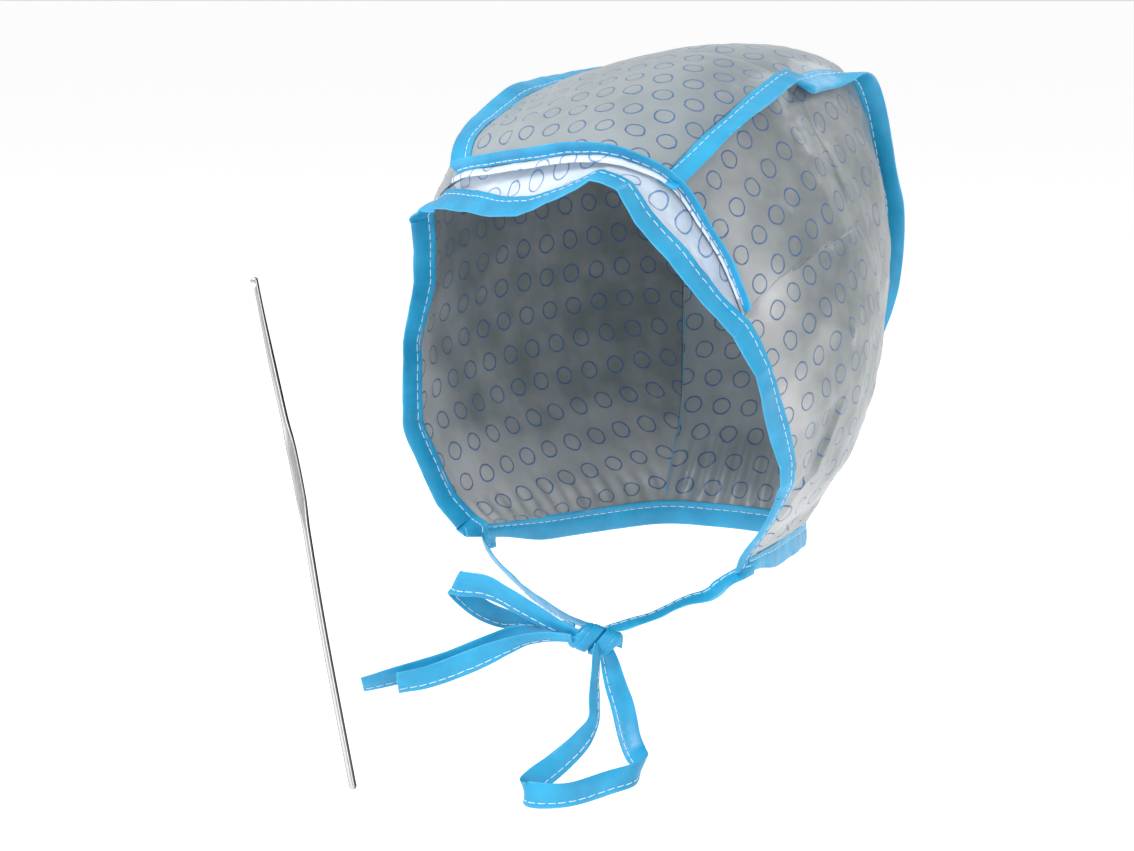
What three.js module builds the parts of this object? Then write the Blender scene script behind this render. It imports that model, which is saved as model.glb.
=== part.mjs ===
// A tie-on highlighting cap: a bonnet of printed vinyl film with bound edges, tied under the chin,
// and its hook.
// Millimetres, +Z up. The origin is the centre of the wearer's head; the face looks along -Y and the
// wearer's left is +X.
import * as THREE from "three";
import { mergeVertices } from "three/addons/utils/BufferGeometryUtils.js";

// Driving dimensions
const FILM = 1.2; // drawn thickness of the vinyl film
const TAPE = 1.4; // drawn thickness of the folded binding tape
const TAPE_WIDTH = 9; // finished width of the binding and of the ties
const BROW_WIDTH = 5.5; // width of the brow binding
const HEM_WIDTH = 3.6; // the film hem that shows below the brow binding
const GAP = 0.5; // clearance between neighbouring pieces
const SEAM_TRIM = 2.2; // how far each film panel stops short of a shared seam
const THREAD = 0.7; // width of a row of stitches
const THREAD_THICKNESS = 0.4;
const STITCH_INSET = 2; // from the film's edge of the tape to its row of stitches
const SIDE_BULGE = 16; // how far a side panel swells outwards
const CROWN_BULGE = 8; // how far the crown strip arches above its seams
const BULGE_POWER = 0.9; // 1 is a soft swell; less fills the patch out towards its edges
const VISOR_RECESS = 2.5; // how far the visor film folds in behind the brow hem
const HEAD = new THREE.Vector3(85, 95, 110); // half sizes of the head that the cap fits
const HEAD_SHIFT = 30; // how far forward of the origin the head's widest section lies
const HOOK_LENGTH = 201;
const HOOK_RADIUS = 1.45;
const HOOK_THROAT = 2.6; // from the tip to the throat behind the barb
const HOOK_BARB = 0.35; // how far the barb stands out from the throat
const HOOK_REST = [1.9, 0.9]; // half width and half thickness of the flattened thumb rest
const BINDING_LIFT = 1.6; // how far seam and brow bindings stand off the film's edge
const BROW_STITCH_INSET = 0.8;
const HEM_LIFT = 1.4; // how far the hem stands off the brow line
const HEM_THICKNESS = 0.8;
const NAPE_DROP = 0.9; // from the film's lower edge to the nape binding
const VISOR_BEHIND = 1.2; // how far the visor film starts behind the brow line

const SMOOTH = 0.5; // curve tension of a soft edge
const CREASED = 0.15; // curve tension of an edge with kinks

const UP = new THREE.Vector3(0, 0, 1);
const DOWN = new THREE.Vector3(0, 0, -1);

// Film edges. The seams run from the brow over the top to the nape; each row is x, y, z and then the
// direction in which the seam's binding stands off.
const SEAM_LEFT = [
  [54, -77, 66, 0.7, 0, -0.6],
  [55, -51, 84, 0.8, 0, -0.6],
  [56, -18, 95.5, 0.8, 0, -0.6],
  [56, -3, 97.5, 0.8, 0, -0.6],
  [57, 5, 95.5, 0.8, 0.1, -0.6],
  [56, 12, 99, 0.8, 0.1, -0.5],
  [56, 32, 101, 0.8, 0.1, -0.4],
  [55, 54, 98.5, 0.7, 0.4, 0],
  [52, 73, 88.5, 0.8, 0.4, 0.2],
  [52, 87, 60, 0.9, 0.1, 0],
  [51, 97, 40, 0.9, 0.2, 0],
  [49, 98, 12, 0.7, 0.5, 0],
  [46, 93, -18, 0.1, 1, 0],
  [40, 82, -50, -0.5, 0.9, 0],
  [37, 67, -78, -0.5, 0.9, 0],
  [36, 60, -90, -0.5, 0.9, 0],
];
const SEAM_RIGHT = [
  [-43, -74, 64, -0.8, -0.1, -0.3],
  [-48, -61, 76, -0.9, 0, -0.1],
  [-53, -32, 86, -0.9, 0, 0.2],
  [-55, -10, 92, -0.9, 0, 0.3],
  [-56, 32, 97, -0.9, 0.1, 0.2],
  [-55, 58, 96, -0.8, 0.4, 0.4],
  [-54, 74, 88, -0.7, 0.6, 0.3],
  [-54, 87, 60, -0.8, 0.5, 0],
  [-53, 98, 40, -0.8, 0.6, 0],
  [-50, 99, 12, -0.6, 0.8, 0],
  [-46, 93, -18, -0.6, 0.8, 0],
  [-40, 82, -50, -0.6, 0.8, 0],
  [-37, 67, -78, -0.6, 0.8, 0],
  [-36, 60, -90, -0.6, 0.8, 0],
];
// The brow line, from its end on the wearer's right to its end on the left.
const BROW = [
  [-68, -59, 52, -0.1, -0.5, 0.9],
  [-57, -67, 57, 0, -0.5, 0.8],
  [-43, -74, 62, 0.1, -0.5, 0.8],
  [-24, -79, 65, 0.2, -0.5, 0.8],
  [-4, -85, 68, 0.3, -0.5, 0.8],
  [16, -88, 71, 0.3, -0.5, 0.8],
  [33, -88, 71, 0.4, -0.5, 0.8],
  [46, -83, 67, 0.6, -0.5, 0.6],
  [53, -77, 61, 0.8, -0.4, 0.4],
  [58, -73, 53, 0.8, -0.4, 0.3],
  [62, -70, 45, 0.8, -0.4, 0.2],
  [67, -67, 36, 0.8, -0.4, 0.1],
  [72, -66, 26, 0.8, -0.4, 0.1],
  [78, -67, 14, 0.8, -0.4, 0.1],
];
const BROW_SEAM_RIGHT = 2; // the points of the brow line where the seams meet it
const BROW_SEAM_LEFT = 8;
// The film's edge round the face opening, from the wearer's right jaw over the visor to the left jaw.
const FACE = [
  [-62, -38, -86, -0.2, -0.8, -0.5],
  [-71, -33, -85, -0.2, -0.8, -0.4],
  [-79, -37, -75, -0.2, -0.9, -0.3],
  [-85, -47, -50, -0.2, -0.9, 0],
  [-86, -50, -42, -0.2, -1, 0],
  [-86, -50, -10, -0.1, -1, 0],
  [-82, -46, 15, -0.3, -0.9, 0],
  [-81, -47, 30, -0.3, -0.9, 0],
  [-79, -51, 43, -0.3, -0.9, 0],
  [-68, -61, 50, 0.3, -0.9, 0],
  [-56, -70, 54, 0.4, -0.8, -0.4],
  [-33, -82, 55, 0.4, -0.8, -0.5],
  [-12, -92, 54, 0.4, -0.8, -0.5],
  [0, -95, 55, 0.3, -0.8, -0.5],
  [18, -98, 60, 0.2, -0.9, -0.4],
  [35, -99, 67, 0.2, -0.9, -0.3],
  [47, -97, 63, 0, -1, -0.2],
  [53, -93, 52, 0, -0.9, -0.4],
  [64, -86, 38, -0.2, -0.9, -0.2],
  [74, -77, 21, -0.2, -1, 0],
  [81, -69, 11, -0.3, -0.9, 0],
  [84, -66, 4, -0.3, -1, 0],
  [87, -62, -6, -0.1, -1, 0],
  [88, -59, -15, -0.1, -1, 0],
  [88, -51, -30, -0.3, -0.9, 0.1],
  [86, -42, -44, -0.2, -1, 0],
  [84, -39, -53, -0.1, -1, 0],
  [80, -36, -59, 0, -1, 0.1],
  [74, -36, -70, 0.1, -1, 0.1],
  [67, -36, -81, 0.1, -0.9, 0.2],
  [63, -36, -86, 0.1, -1, 0.1],
];
const VISOR_RIGHT = 9; // the points of the face edge where the visor begins and ends
const VISOR_LEFT = 20;
// The nape edge, from the right jaw round the neck to the left jaw.
const NAPE = [
  [-62, -36, -88],
  [-60, -17, -89],
  [-51, 25, -90],
  [-36, 60, -90],
  [-14, 72, -91],
  [14, 72, -91],
  [36, 60, -90],
  [51, 20, -88],
  [60, -17, -88],
  [63, -34, -88],
];
const NAPE_SEAM_RIGHT = 3;
const NAPE_SEAM_LEFT = 6;

// Ties and bow: x, y, z of the middle of the tape, the direction across it, and its width there.
const TIE_LEFT = [
  [63, -40, -92, 0.5, -0.5, -0.7, 9],
  [59, -43.5, -94.5, 0.6, -0.6, -0.5, 9],
  [56, -46, -97, 0.7, -0.6, -0.4, 9],
  [52.9, -48, -99.6, 0.7, -0.6, -0.3, 8.5],
  [44.9, -52, -102.7, 0.7, -0.7, -0.1, 9],
  [34.5, -58.5, -108.5, 0.7, -0.7, -0.1, 9],
  [27, -66, -111.5, 0.6, -0.7, -0.3, 7.2],
  [22, -71, -112.9, 0.6, -0.7, -0.3, 5.7],
];
const TIE_RIGHT = [
  [-62, -40, -92, 0.1, -0.6, 0.8, 9],
  [-48, -45, -101, 0.1, -0.7, 0.7, 9],
  [-30, -52, -108, 0.1, -0.7, 0.7, 9],
  [-10, -61, -112, 0.2, -0.7, 0.7, 8],
  [5, -68, -113, 0.2, -0.7, 0.7, 5],
  [12, -70, -113, 0.2, -0.7, 0.7, 4],
];
const LOOP_SIDE = [
  [14, -81, -114.4, 0.5, -0.3, 0.8, 5.8],
  [9.5, -83, -113, 0.6, -0.3, 0.8, 7.1],
  [3.3, -85, -110, 0.5, -0.2, 0.8, 8],
  [-6.3, -87.5, -105, 0.6, -0.1, 0.8, 8.9],
  [-14.9, -89.5, -101, 0.6, -0.1, 0.8, 9.2],
  [-23, -92, -97.8, 0.5, 0, 0.8, 10],
  [-32, -94, -97.5, 0.5, 0.1, 0.8, 10],
  [-37.5, -91, -98.5, 0.4, 0.2, 0.9, 10],
  [-37.5, -85, -104.6, 0.3, 0.3, 0.9, 9],
  [-32.9, -80, -110.5, 0.3, 0.3, 0.9, 8.5],
  [-25, -77, -113.5, 0.3, 0.2, 0.9, 8],
  [-17, -75.5, -113.5, 0.2, 0.2, 1, 6],
  [-8, -74.5, -113.6, 0.1, 0.2, 1, 5],
  [7, -73.4, -114.2, 0, 0.2, 1, 4],
];
const LOOP_HANGING = [
  [22, -79, -118, 0.1, -0.9, 0.3, 6.2],
  [24, -84, -125.5, 0.1, -1, 0.2, 6.2],
  [26, -88, -137, -0.1, -1, 0.2, 6.5],
  [27.5, -91, -144.6, -0.1, -0.9, 0.3, 7],
  [25.7, -97, -151.6, -0.6, -0.6, 0.4, 8],
  [21.5, -105.5, -158.4, -0.8, -0.3, 0.5, 9.3],
  [18.1, -115, -163.3, -0.6, -0.1, 0.8, 10],
  [16.4, -120.5, -167, 0, 0, 1, 10],
  [22.4, -120.5, -167.7, 0, 0.1, 1, 10],
  [32.2, -113.5, -167.4, 0, 0.3, 0.9, 9],
  [41.4, -101, -164.3, -0.1, 0.5, 0.8, 9],
  [46.6, -92, -162.5, 0, 0.3, 0.9, 8.6],
  [45.5, -84, -160.5, 0.3, 0.3, 0.9, 8.4],
  [39.5, -79.5, -158, 0.8, 0.4, 0.5, 9],
  [34.8, -76.5, -153, 0.9, 0.3, 0.2, 9],
  [29.5, -73, -143, 1, 0.1, 0, 10],
  [25.1, -71.5, -134.7, 1, 0.1, 0.1, 9.6],
  [22.1, -70.5, -127.3, 1, 0.1, 0.1, 8.4],
  [20, -70.5, -121, 1, 0.2, 0.1, 5.6],
];
const END_UPPER = [
  [10.6, -78, -114.5, 0.4, -0.5, 0.8, 4.4],
  [-2.3, -80.5, -115, 0.3, -0.5, 0.8, 5.6],
  [-13, -84, -117, -0.1, -0.4, 0.9, 7.6],
  [-23.7, -90.5, -122.1, -0.2, -0.4, 0.9, 8.8],
  [-34.1, -99, -127.4, -0.2, -0.3, 0.9, 8.7],
  [-47.4, -110, -132.1, 0, -0.4, 0.9, 8.7],
  [-60.8, -122, -136.2, 0.1, -0.7, 0.7, 8.9],
];
const END_LOWER = [
  [13, -84, -115.3, 0.5, -0.4, 0.8, 4.6],
  [3, -87.5, -115.5, 0.3, -0.5, 0.8, 5.6],
  [-4.6, -91, -117, 0.1, -0.6, 0.8, 6.7],
  [-10.8, -95, -119.5, -0.3, -0.6, 0.7, 8],
  [-20.4, -100.5, -124.6, -0.5, -0.4, 0.7, 9],
  [-31.4, -107, -129.9, -0.4, -0.3, 0.8, 9],
  [-38.5, -113, -132.6, -0.2, -0.3, 0.9, 9],
  [-45.2, -119.5, -134, 0.2, -0.3, 0.9, 9.8],
];
const KNOT_CENTRE = new THREE.Vector3(18, -75, -117);
const KNOT_HALF = new THREE.Vector3(9, 7, 6.2);

const HOOK_TIP = new THREE.Vector3(-96, -141, 24);
const HOOK_END_DIRECTION = new THREE.Vector3(0.243, -0.021, -0.97);

const at = ([x, y, z]) => new THREE.Vector3(x, y, z);
const across = ([, , , x, y, z]) => new THREE.Vector3(x, y, z).normalize();
const mix = (a, b, t) => a.clone().lerp(b, t);

// A spline through the points from index `first` to index `last`, read by its arc length from 0 to 1.
function rail(points, tension, first = 0, last = points.length - 1) {
  const curve = new THREE.CatmullRomCurve3(points.map(at), false, "catmullrom", tension);
  const samples = 40 * (last - first);
  const path = [];
  for (let i = 0; i <= samples; i++) {
    path.push(curve.getPoint((first + ((last - first) * i) / samples) / (points.length - 1)));
  }
  return byLength(path);
}

// A dense run of points, read by its arc length from 0 to 1.
function byLength(path) {
  const reach = [0];
  for (let i = 1; i < path.length; i++) {
    reach.push(reach[i - 1] + path[i].distanceTo(path[i - 1]));
  }
  const length = reach[reach.length - 1];
  const read = (s) => {
    const goal = Math.min(Math.max(s, 0), 1) * length;
    let i = 1;
    while (i < path.length - 1 && reach[i] < goal) i++;
    return mix(path[i - 1], path[i], (goal - reach[i - 1]) / (reach[i] - reach[i - 1]));
  };
  read.length_mm = length;
  return read;
}

// Two rails end to end, and a rail run backwards.
function chain(first, second) {
  const path = [];
  for (let i = 0; i <= 200; i++) path.push(first(i / 200));
  for (let i = 1; i <= 200; i++) path.push(second(i / 200));
  return byLength(path);
}
const reversed = (read) => {
  const back = (s) => read(1 - s);
  back.length_mm = read.length_mm;
  return back;
};

const tangent = (read, s) => read(Math.min(s + 0.004, 1)).sub(read(Math.max(s - 0.004, 0))).normalize();

// The outward direction of the head under a point.
function headNormal(p) {
  const gradient = [p.x / HEAD.x ** 2, (p.y + HEAD_SHIFT) / HEAD.y ** 2, p.z / HEAD.z ** 2];
  return new THREE.Vector3(...gradient).normalize();
}

// A mesh from a vertex list and quads or triangles, turned to face outwards.
function closedMesh(name, vertices, faces, material = film) {
  const index = [];
  for (const face of faces) {
    for (let i = 2; i < face.length; i++) index.push(face[0], face[i - 1], face[i]);
  }
  let volume = 0;
  for (let i = 0; i < index.length; i += 3) {
    const [a, b, c] = [0, 1, 2].map((k) => vertices[index[i + k]]);
    volume += a.dot(b.clone().cross(c));
  }
  if (volume < 0) index.reverse();
  const flat = vertices.flatMap((v) => [v.x, v.y, v.z]);
  const geometry = new THREE.BufferGeometry();
  geometry.setAttribute("position", new THREE.Float32BufferAttribute(flat, 3));
  geometry.setIndex(index);
  const mesh = new THREE.Mesh(mergeVertices(geometry, 1e-3), material);
  mesh.geometry.computeVertexNormals();
  mesh.name = name;
  return mesh;
}

// The four-sided patch that spans four rails: low and high run along u, start and end run along v.
function coons(low, high, start, end) {
  return (u, v) => {
    const ruled = mix(low(u), high(u), v).add(mix(start(v), end(v), u));
    const corners = mix(mix(low(0), low(1), u), mix(high(0), high(1), u), v);
    return ruled.sub(corners);
  };
}

// A patch swollen along its own normal, most at its middle.
function swollen(patch, bulge, outward) {
  return (u, v) => {
    const step = 0.01;
    const du = patch(Math.min(u + step, 1), v).sub(patch(Math.max(u - step, 0), v));
    const dv = patch(u, Math.min(v + step, 1)).sub(patch(u, Math.max(v - step, 0)));
    const normal = du.cross(dv).normalize();
    const point = patch(u, v);
    if (normal.dot(outward(point)) < 0) normal.negate();
    const height = Math.max(Math.sin(Math.PI * u) * Math.sin(Math.PI * v), 0) ** BULGE_POWER;
    return point.addScaledVector(normal, bulge * height);
  };
}

// A closed film shell over a patch, stopping short of each edge by the given lengths in millimetres.
function filmShell(name, patch, trims, steps) {
  const [trimLowV, trimHighV, trimLowU, trimHighU] = trims;
  const [nu, nv] = steps;
  const span = (line) => {
    let length = 0;
    for (let i = 0; i < 20; i++) length += line(i / 20).distanceTo(line((i + 1) / 20));
    return length;
  };
  const outer = [];
  for (let j = 0; j <= nv; j++) {
    for (let i = 0; i <= nu; i++) {
      const along = span((t) => patch(t, j / nv));
      const up = span((t) => patch(i / nu, t));
      const u = trimLowU / along + (1 - (trimLowU + trimHighU) / along) * (i / nu);
      const v = trimLowV / up + (1 - (trimLowV + trimHighV) / up) * (j / nv);
      outer.push(patch(u, v));
    }
  }
  const id = (i, j) => j * (nu + 1) + i;
  const normals = outer.map(() => new THREE.Vector3());
  const quads = [];
  for (let j = 0; j < nv; j++) {
    for (let i = 0; i < nu; i++) {
      const quad = [id(i, j), id(i + 1, j), id(i + 1, j + 1), id(i, j + 1)];
      quads.push(quad);
      const diagonal = outer[quad[2]].clone().sub(outer[quad[0]]);
      const normal = diagonal.cross(outer[quad[3]].clone().sub(outer[quad[1]])).normalize();
      if (normal.dot(headNormal(outer[quad[0]])) < 0) normal.negate();
      quad.forEach((k) => normals[k].add(normal));
    }
  }
  const inner = outer.map((p, k) => p.clone().addScaledVector(normals[k].normalize(), -FILM));
  const count = outer.length;
  const rim = [];
  for (let i = 0; i < nu; i++) rim.push(id(i, 0));
  for (let j = 0; j < nv; j++) rim.push(id(nu, j));
  for (let i = nu; i > 0; i--) rim.push(id(i, nv));
  for (let j = nv; j > 0; j--) rim.push(id(0, j));
  const walls = rim.map((a, k) => {
    const b = rim[(k + 1) % rim.length];
    return [b, a, a + count, b + count];
  });
  const inside = quads.map((q) => q.map((k) => k + count).reverse());
  return closedMesh(name, outer.concat(inner), quads.concat(inside, walls));
}

// A flat strip along stations of { at, across, face, width }; `face` is its surface normal.
function strip(name, stations, thickness, material = film) {
  const vertices = [];
  for (const s of stations) {
    const half = s.face.clone().multiplyScalar(thickness / 2);
    const far = s.at.clone().addScaledVector(s.across, s.width);
    vertices.push(s.at.clone().add(half), far.clone().add(half));
    vertices.push(far.clone().sub(half), s.at.clone().sub(half));
  }
  const last = 4 * (stations.length - 1);
  const faces = [
    [3, 2, 1, 0],
    [last, last + 1, last + 2, last + 3],
  ];
  for (let k = 0; k < last; k += 4) {
    for (let i = 0; i < 4; i++) {
      const next = (i + 1) % 4;
      faces.push([k + i, k + next, k + 4 + next, k + 4 + i]);
    }
  }
  return closedMesh(name, vertices, faces, material);
}

// Stations of a strip on a rail: `direction(s, point, tangent)` gives the way across.
function stationsOn(read, count, direction, width, from = 0, to = 1) {
  const list = [];
  for (let i = 0; i <= count; i++) {
    const s = from + ((to - from) * i) / count;
    const point = read(s);
    const t = tangent(read, s);
    const way = direction(s, point, t);
    way.addScaledVector(t, -way.dot(t)).normalize();
    list.push({ at: point, across: way, face: t.cross(way).normalize(), width });
  }
  return list;
}

// The direction across at arc length s, blended from the directions of the rows.
function waysOf(rows, read) {
  const ways = new THREE.CatmullRomCurve3(rows.map(across), false, "catmullrom", CREASED);
  const share = rowShares(rows, read);
  return (s) => ways.getPoint(share(s));
}

// Moves stations by lengths across, and off their face, and sets their width.
function shifted(stations, alongAcross, alongFace, width) {
  return stations.map((s) => ({
    ...s,
    at: s.at.clone().addScaledVector(s.across, alongAcross).addScaledVector(s.face, alongFace),
    width: width ?? s.width,
  }));
}

// Stations of a free tape, from rows of its middle line, its direction across and its width.
function freeTape(rows, count, from = 0, to = 1) {
  const middle = rail(rows, SMOOTH);
  const widthRows = rows.map((row) => new THREE.Vector3(row[6], 0, 0));
  const widths = new THREE.CatmullRomCurve3(widthRows, false, "catmullrom", SMOOTH);
  const share = rowShares(rows, middle);
  const list = stationsOn(middle, count, waysOf(rows, middle), TAPE_WIDTH, from, to);
  return list.map((s, i) => {
    const width = widths.getPoint(share(from + ((to - from) * i) / count)).x;
    return { ...s, at: s.at.clone().addScaledVector(s.across, -width / 2), width };
  });
}

// Turns arc length along a rail into the spline parameter of its rows, by the nearest stretch.
function rowShares(rows, read) {
  const marks = rows.map((row) => {
    let best = 0;
    for (let i = 0; i <= 400; i++) {
      if (read(i / 400).distanceTo(at(row)) < read(best).distanceTo(at(row))) best = i / 400;
    }
    return best;
  });
  return (s) => {
    let k = 0;
    while (k < marks.length - 2 && marks[k + 1] < s) k++;
    const local = (s - marks[k]) / (marks[k + 1] - marks[k]);
    return Math.min(Math.max((k + local) / (rows.length - 1), 0), 1);
  };
}

// Materials
const paint = (color, roughness, metalness = 0, extra = {}) =>
  new THREE.MeshStandardMaterial({ color, roughness, metalness, ...extra });
const film = paint(0xc3ccd0, 0.45, 0, { transparent: true, opacity: 0.85 });
const binding = paint(0x2fb4ea, 0.35);
const thread = paint(0xf4f6f8, 0.8);
const steel = paint(0xc8cacc, 0.18, 1);

// Where along its rail each bound piece starts and ends, as shares of the rail's length
const [BROW_FROM, BROW_TO, HEM_TO] = [0.13, 0.94, 0.9];
const [VISOR_FROM, VISOR_TO] = [0.06, 0.92];
const SEAM_SPAN = [0.03, 0.985];
const NAPE_SPAN = [0.03, 0.97];

// Rails shared by the pieces
const seamLeft = rail(SEAM_LEFT, SMOOTH);
const seamRight = rail(SEAM_RIGHT, SMOOTH);
const TOP_CORNER_LEFT = 8; // the row of each seam at the crown's back corner
const TOP_CORNER_RIGHT = 6;
const browMiddle = rail(BROW, SMOOTH, BROW_SEAM_RIGHT, BROW_SEAM_LEFT);
const brow = rail(BROW, SMOOTH);
const visorEdge = rail(FACE, CREASED, VISOR_RIGHT, VISOR_LEFT);
const faceEdge = rail(FACE, CREASED);
const napeEdge = rail(NAPE, SMOOTH);
const napeMiddle = rail(NAPE, SMOOTH, NAPE_SEAM_RIGHT, NAPE_SEAM_LEFT);

function crownStrip() {
  const patch = swollen(coons(browMiddle, napeMiddle, seamRight, seamLeft), CROWN_BULGE, headNormal);
  return filmShell("crown_strip", patch, [SEAM_TRIM, GAP, SEAM_TRIM, SEAM_TRIM], [10, 26]);
}

function sidePanel(name, seam, corner, frontOfBrow, frontOfFace, nape) {
  const front = chain(frontOfBrow, frontOfFace);
  const top = rail(seam, SMOOTH, 0, corner);
  const back = rail(seam, SMOOTH, corner);
  const patch = swollen(coons(top, nape, front, back), SIDE_BULGE, headNormal);
  return filmShell(name, patch, [SEAM_TRIM, GAP, GAP, SEAM_TRIM], [14, 16]);
}

const sideLeft = () =>
  sidePanel(
    "side_panel_left",
    SEAM_LEFT,
    TOP_CORNER_LEFT,
    rail(BROW, SMOOTH, BROW_SEAM_LEFT),
    rail(FACE, CREASED, VISOR_LEFT),
    reversed(rail(NAPE, SMOOTH, NAPE_SEAM_LEFT)),
  );
const sideRight = () =>
  sidePanel(
    "side_panel_right",
    SEAM_RIGHT,
    TOP_CORNER_RIGHT,
    reversed(rail(BROW, SMOOTH, 0, BROW_SEAM_RIGHT)),
    reversed(rail(FACE, CREASED, 0, VISOR_RIGHT)),
    rail(NAPE, SMOOTH, 0, NAPE_SEAM_RIGHT),
  );

// The visor film runs from the brow line to the face binding, folded in behind the hem.
function visorFilm() {
  const patch = (u, v) => {
    const s = VISOR_FROM + (VISOR_TO - VISOR_FROM) * u;
    const point = mix(brow(s), visorEdge(s), v);
    return point.addScaledVector(headNormal(point), -VISOR_RECESS * Math.sin(Math.PI * v) - VISOR_BEHIND);
  };
  return filmShell("visor_film", patch, [VISOR_BEHIND, GAP, 0, 0], [26, 3]);
}

const browRun = stationsOn(brow, 44, waysOf(BROW, brow), BROW_WIDTH, BROW_FROM, BROW_TO);
const browStations = shifted(browRun, BINDING_LIFT, 0);

function browHem() {
  const downTheFilm = (s, p, t) => t.clone().cross(headNormal(p));
  const stations = stationsOn(brow, 36, downTheFilm, HEM_WIDTH, BROW_FROM, HEM_TO);
  stations.forEach((s) => s.at.addScaledVector(headNormal(s.at), HEM_LIFT).addScaledVector(s.across, 1));
  return strip("brow_hem", stations, HEM_THICKNESS);
}

const faceStations = shifted(stationsOn(faceEdge, 96, waysOf(FACE, faceEdge), TAPE_WIDTH), GAP, 0);
const napeRun = stationsOn(napeEdge, 44, () => DOWN.clone(), TAPE_WIDTH, ...NAPE_SPAN);
const napeStations = shifted(napeRun, NAPE_DROP, 0);

// A seam binding stands off along the directions of its rows.
function seamStations(rows, read) {
  const list = stationsOn(read, 56, waysOf(rows, read), TAPE_WIDTH, ...SEAM_SPAN);
  list.forEach((s) => s.at.addScaledVector(headNormal(s.at), BINDING_LIFT));
  return list;
}

// A tape and its row of stitches, on the side of the tape that faces away from the middle of its curve.
function sewnTape(name, stations, inset = STITCH_INSET) {
  const middle = new THREE.Vector3();
  stations.forEach((s) => middle.addScaledVector(s.at, 1 / stations.length));
  const outwards = stations.reduce((sum, s) => sum + s.face.dot(s.at.clone().sub(middle)), 0);
  const lift = Math.sign(outwards) * (TAPE / 2 + GAP + THREAD_THICKNESS / 2);
  return [
    strip(name, stations, TAPE, binding),
    strip(`${name}_thread`, shifted(stations, inset, lift, THREAD), THREAD_THICKNESS, thread),
  ];
}

// The bow's knot: a lump of wrapped tape with three rounded turns.
function knot() {
  const geometry = new THREE.SphereGeometry(1, 24, 16);
  geometry.deleteAttribute("normal");
  geometry.deleteAttribute("uv");
  const merged = mergeVertices(geometry, 1e-4);
  const place = merged.getAttribute("position");
  for (let i = 0; i < place.count; i++) {
    const p = new THREE.Vector3().fromBufferAttribute(place, i);
    const turns = 1 + 0.06 * Math.cos(3 * Math.PI * p.x);
    const square = (v) => Math.sign(v) * Math.abs(v) ** 0.7;
    place.setXYZ(i, square(p.x) * KNOT_HALF.x, p.y * turns * KNOT_HALF.y, p.z * turns * KNOT_HALF.z);
  }
  const mesh = new THREE.Mesh(merged, binding);
  mesh.position.copy(KNOT_CENTRE);
  mesh.name = "bow_knot";
  return mesh;
}

// The hook: a round steel rod with a flattened thumb rest, a tapered neck and a barbed tip.
function hook() {
  const rings = [];
  const sides = 12;
  const profile = [
    // distance from the tip, half width, half thickness
    [0, 0.35, 0.35],
    [0.6, 0.8, 0.8],
    [1.6, 0.95, 0.95],
    [HOOK_THROAT, 0.6, 0.6],
    [4.4, 0.75, 0.75],
    [14, 1.1, 1.1],
    [46, HOOK_RADIUS, HOOK_RADIUS],
    [52, ...HOOK_REST],
    [80, ...HOOK_REST],
    [86, HOOK_RADIUS, HOOK_RADIUS],
    [HOOK_LENGTH - 2.5, HOOK_RADIUS, HOOK_RADIUS],
    [HOOK_LENGTH - 0.8, 1.1, 1.1],
    [HOOK_LENGTH, 0.4, 0.4],
  ];
  for (const [z, wide, thick] of profile) {
    const offset = z === HOOK_THROAT ? -HOOK_BARB : 0;
    for (let i = 0; i < sides; i++) {
      const a = (2 * Math.PI * i) / sides;
      rings.push(new THREE.Vector3(offset + wide * Math.cos(a), thick * Math.sin(a), z));
    }
  }
  const faces = [];
  const last = sides * (profile.length - 1);
  faces.push([...Array(sides).keys()].reverse());
  faces.push([...Array(sides).keys()].map((i) => last + i));
  for (let k = 0; k < last; k += sides) {
    for (let i = 0; i < sides; i++) {
      const next = (i + 1) % sides;
      faces.push([k + i, k + next, k + sides + next, k + sides + i]);
    }
  }
  const mesh = closedMesh("hook", rings, faces, steel);
  mesh.position.copy(HOOK_TIP);
  mesh.quaternion.setFromUnitVectors(UP, HOOK_END_DIRECTION.clone().normalize());
  return mesh;
}

const cap = new THREE.Group();
cap.add(crownStrip(), sideLeft(), sideRight(), visorFilm(), browHem());
cap.add(...sewnTape("brow_binding", browStations, BROW_STITCH_INSET));
cap.add(...sewnTape("face_binding", faceStations));
cap.add(...sewnTape("nape_binding", napeStations));
cap.add(...sewnTape("seam_binding_left", seamStations(SEAM_LEFT, seamLeft)));
cap.add(...sewnTape("seam_binding_right", seamStations(SEAM_RIGHT, seamRight)));
const freeTapes = [
  // name, rows, stations, and the shares of its length where it leaves the knot and ends
  ["tie_left", TIE_LEFT, 24, 0, 0.93],
  ["tie_right", TIE_RIGHT, 20, 0, 0.9],
  ["end_upper", END_UPPER, 24, 0.14, 1],
  ["end_lower", END_LOWER, 24, 0.14, 1],
  ["loop_side", LOOP_SIDE, 56, 0.09, 0.93],
  ["loop_hanging", LOOP_HANGING, 60, 0.05, 0.96],
];
for (const [name, rows, count, from, to] of freeTapes) {
  cap.add(...sewnTape(name, freeTape(rows, count, from, to)));
}
cap.add(knot(), hook());

export default cap;
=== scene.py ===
# A tie-on highlighting cap of printed vinyl film with bound edges and a bow, and its steel hook.
# Shapes are worked out in millimetres and stored in metres, in the frame of the CAD model: the origin is
# the centre of the wearer's head, +Z is up, the face looks along -Y and the wearer's left is +X.
import math

import bpy
import numpy as np
from mathutils import Matrix, Vector, noise


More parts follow.
